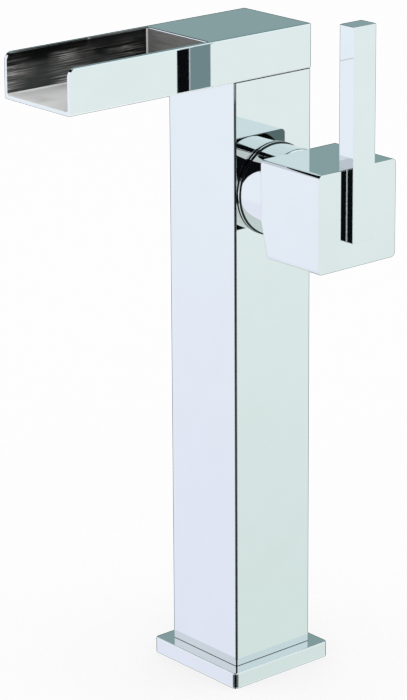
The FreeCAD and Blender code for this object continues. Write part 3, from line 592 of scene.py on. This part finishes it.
class MIXER_OT_column(bpy.types.Operator):
    """Mirror chrome on the column, with the shade of its joint on the foot painted as a dark line."""

    bl_idname = "mixer.column"
    bl_label = "Column"

    def execute(self, context):
        finish = context.scene.mixer_chrome
        low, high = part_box("column_shell")
        middle = (low + high) / 2
        half = middle.z - FOOT_HIGH.z - finish.joint
        material = jointed_material("column_chrome", finish, "Z", middle, half)
        finish_nodes(("column_shell",), material)
        return {"FINISHED"}


class MIXER_OT_cube(bpy.types.Operator):
    """Chrome on the handle's cube, with its darker back and black shade painted in and round its hollow."""

    bl_idname = "mixer.cube"
    bl_label = "Cube"

    def execute(self, context):
        scene = context.scene
        finish_nodes(("handle_block",), cube_material(scene.mixer_chrome, scene.mixer_cube))
        return {"FINISHED"}


class MIXER_OT_spout(bpy.types.Operator):
    """Chrome on the spout and its cover, brushed inside the trough, with painted shade and light in the
    trough and painted highlights on its lower edges.
    """

    bl_idname = "mixer.spout"
    bl_label = "Spout"

    def execute(self, context):
        scene = context.scene
        material = trough_material(scene.mixer_chrome, scene.mixer_trough)
        finish_nodes(("spout_body", "spout_cover"), material)
        return {"FINISHED"}


class MIXER_OT_brass(bpy.types.Operator):
    """Machined brass on the plug, valve, cap, nut and tubes."""

    bl_idname = "mixer.brass"
    bl_label = "Brass pieces"

    def execute(self, context):
        inner = context.scene.mixer_inner
        finish_nodes(BRASS, metal_material("machined_brass", inner.brass, inner.brass_rough))
        return {"FINISHED"}


class MIXER_OT_steel(bpy.types.Operator):
    """Stainless steel on the screws, the pin and the stem."""

    bl_idname = "mixer.steel"
    bl_label = "Steel pieces"

    def execute(self, context):
        inner = context.scene.mixer_inner
        finish_nodes(STEEL, metal_material("stainless_steel", inner.steel, inner.steel_rough))
        return {"FINISHED"}


class MIXER_OT_rubber(bpy.types.Operator):
    """Black rubber on the gasket and the seals."""

    bl_idname = "mixer.rubber"
    bl_label = "Rubber pieces"

    def execute(self, context):
        inner = context.scene.mixer_inner
        material = moulded_material("moulded_rubber", inner.rubber, inner.rubber_rough,
                                    inner.rubber_grain)
        finish_nodes(RUBBER, material)
        return {"FINISHED"}


class MIXER_OT_plastic(bpy.types.Operator):
    """Off-white plastic on the cartridge's housing and carrier."""

    bl_idname = "mixer.plastic"
    bl_label = "Plastic pieces"

    def execute(self, context):
        inner = context.scene.mixer_inner
        material = moulded_material("moulded_plastic", inner.plastic, inner.plastic_rough,
                                    inner.plastic_grain)
        finish_nodes(PLASTIC, material)
        return {"FINISHED"}


class MIXER_OT_ceramic(bpy.types.Operator):
    """Lapped ceramic on the two discs."""

    bl_idname = "mixer.ceramic"
    bl_label = "Ceramic discs"

    def execute(self, context):
        inner = context.scene.mixer_inner
        material = moulded_material("lapped_ceramic", inner.ceramic, inner.ceramic_rough,
                                    inner.ceramic_grain)
        finish_nodes(CERAMIC, material)
        return {"FINISHED"}


class MIXER_OT_stage(bpy.types.Operator):
    """White floor and surroundings, cards that the chrome mirrors, and the camera."""

    bl_idname = "mixer.stage"
    bl_label = "Stage"

    def execute(self, context):
        studio = context.scene.mixer_studio
        self.make_world(context.scene)
        self.make_floor(studio)
        self.make_cards(studio)
        self.make_camera(context.scene, studio)
        context.scene.view_settings.view_transform = "Standard"
        return {"FINISHED"}

    def make_world(self, scene):
        """The same soft white light from every side, at the level where white is white."""
        scene.world = bpy.data.worlds.new("studio_white")
        scene.world.use_nodes = True
        tree = scene.world.node_tree
        tree.nodes.clear()
        white = shader_node(tree, "ShaderNodeBackground", {"Color": (1, 1, 1, 1), "Strength": 1.0})
        shader_node(tree, "ShaderNodeOutputWorld", {"Surface": white.outputs[0]})

    def make_floor(self, studio):
        """A white floor that shows only the tap's shadow; its own glow keeps that shadow pale."""
        corners = np.array([(-1, -1, 0), (1, -1, 0), (1, 1, 0), (-1, 1, 0)]) * studio.floor
        mesh = bpy.data.meshes.new("floor")
        mesh.from_pydata(corners.tolist(), [], [(0, 1, 2, 3)])
        floor = new_object("floor", mesh)
        material = moulded_material("pale_floor", studio.floor_white, studio.floor_rough,
                                    studio.floor_grain)
        surface = next(node for node in material.node_tree.nodes if node.type == "BSDF_PRINCIPLED")
        surface.inputs["Emission Color"].default_value = (1.0, 1.0, 1.0, 1.0)
        surface.inputs["Emission Strength"].default_value = studio.floor_glow
        floor.data.materials.append(material)
        floor.is_shadow_catcher = True
        floor.visible_glossy = floor.visible_diffuse = False

    def make_cards(self, studio):
        """Cards round the tap, each with its turns and tilts in degrees, its lower and upper colour, and
        its share of the distance; turn 0 is the camera's side."""
        dark, low, haze = studio.dark, studio.low, studio.haze
        rear_low, rear_high = studio.rear_low, studio.rear_high
        right = (studio.right_low, studio.right_mid)
        left = (studio.left_low, studio.left_high)
        cards = {
            "low_card": ((0, 360), (-90, -25), (low, low), 1.03),
            "front_card": ((-52, 52), (-26, 60), (dark, dark), 1.0),
            "front_card_low": ((-80, 72), (-26, -11), (dark, dark), 0.99),
            "front_card_mid": ((-52, 52), (-10.5, 10), (haze, haze), 0.985),
            "front_strip": ((-53.5, -44.5), (-26, -10.5), (haze, haze), 0.985),
            "side_strip": ((36.5, 45.5), (-26, -10.5), (haze, haze), 0.985),
            "front_glow": ((24, 41.5), (43.8, 47.2), (studio.glow, studio.glow), 0.0176),
            "front_slit": ((-14, -0.6), (-13.4, -6), (studio.slit, studio.slit), 0.98),
            "right_card": ((52, 128), (-60, 2), right, 1.0),
            "right_card_top": ((52, 128), (2, 60), (studio.right_high, studio.right_high), 1.0),
            "left_card": ((-128, -52), (-60, 33), left, 1.0),
            "left_card_dark": ((-142, -52), (33, 60), (dark, dark), 0.99),
            "rear_card": ((128, 232), (-32, 0), (rear_low, rear_low), 1.0),
            "rear_card_top": ((128, 232), (0, 40), (rear_high, rear_high), 1.0),
            "rear_card_dark": ((128, 232), (40, 60), (dark, dark), 1.0),
            "top_card": ((0, 360), (60, 90), (dark, dark), 1.0),
        }
        toward = math.degrees(math.atan2(studio.camera[1], studio.camera[0]))
        fade = [studio.far * math.sin(tilt) for tilt in studio.fade]
        for name, (turn, tilt, (lower, upper), share) in cards.items():
            turns = (turn[0] + toward, turn[1] + toward)
            mesh = card_mesh(name, turns, tilt, share * studio.far, studio.centre)
            card = new_object(name, mesh)
            card.data.materials.append(glow_material(name, lower, upper, fade, studio.level))
            card.visible_camera = card.visible_diffuse = card.visible_shadow = False

    def make_camera(self, scene, studio):
        """A camera turned about the upright, tilted, then rolled about its own view."""
        turn, tilt, roll = studio.aim
        ahead = Vector((-math.sin(turn) * math.cos(tilt), math.cos(turn) * math.cos(tilt), math.sin(tilt)))
        right = Vector((math.cos(turn), math.sin(turn), 0.0))
        up = right.cross(ahead)
        rolled = math.cos(roll) * right + math.sin(roll) * up
        upright = math.cos(roll) * up - math.sin(roll) * right
        lens = bpy.data.cameras.new("camera")
        lens.lens, lens.shift_y, lens.sensor_width = studio.lens, studio.rise, studio.sensor
        lens.dof.use_dof = False
        camera = new_object("camera", lens)
        camera.matrix_world = Matrix.Translation(studio.camera) @ Matrix(
            (rolled, upright, -ahead)).transposed().to_4x4()
        scene.camera = camera


OPERATORS = (MIXER_OT_foot, MIXER_OT_column, MIXER_OT_neck, MIXER_OT_cube, MIXER_OT_lever, MIXER_OT_spout,
             MIXER_OT_brass, MIXER_OT_steel, MIXER_OT_rubber, MIXER_OT_plastic, MIXER_OT_ceramic,
             MIXER_OT_stage)
SETTINGS = {"mixer_chrome": ChromeFinish, "mixer_trough": TroughFinish, "mixer_cube": CubeFinish,
            "mixer_inner": InnerFinishes, "mixer_studio": StudioSetup}


class MIXER_PT_panel(bpy.types.Panel):
    """Lists the finishes and the stage."""

    bl_idname = "MIXER_PT_panel"
    bl_label = "Basin mixer"
    bl_space_type = "VIEW_3D"
    bl_region_type = "UI"
    bl_category = "Mixer"

    def draw(self, context):
        for operator in OPERATORS:
            self.layout.operator(operator.bl_idname)
        for name, group in SETTINGS.items():
            box = self.layout.box()
            for key in group.__annotations__:
                box.prop(getattr(context.scene, name), key)


def register():
    for item in (*SETTINGS.values(), *OPERATORS, MIXER_PT_panel):
        bpy.utils.register_class(item)
    for name, group in SETTINGS.items():
        setattr(bpy.types.Scene, name, PointerProperty(type=group))


def unregister():
    for name in SETTINGS:
        delattr(bpy.types.Scene, name)
    for item in (MIXER_PT_panel, *OPERATORS[::-1], *SETTINGS.values()):
        bpy.utils.unregister_class(item)


def main():
    register()
    bpy.ops.mixer.foot()
    bpy.ops.mixer.column()
    bpy.ops.mixer.neck()
    bpy.ops.mixer.cube()
    bpy.ops.mixer.lever()
    bpy.ops.mixer.spout()
    bpy.ops.mixer.brass()
    bpy.ops.mixer.steel()
    bpy.ops.mixer.rubber()
    bpy.ops.mixer.plastic()
    bpy.ops.mixer.ceramic()
    bpy.ops.mixer.stage()


if __name__ == "__main__":
    main()
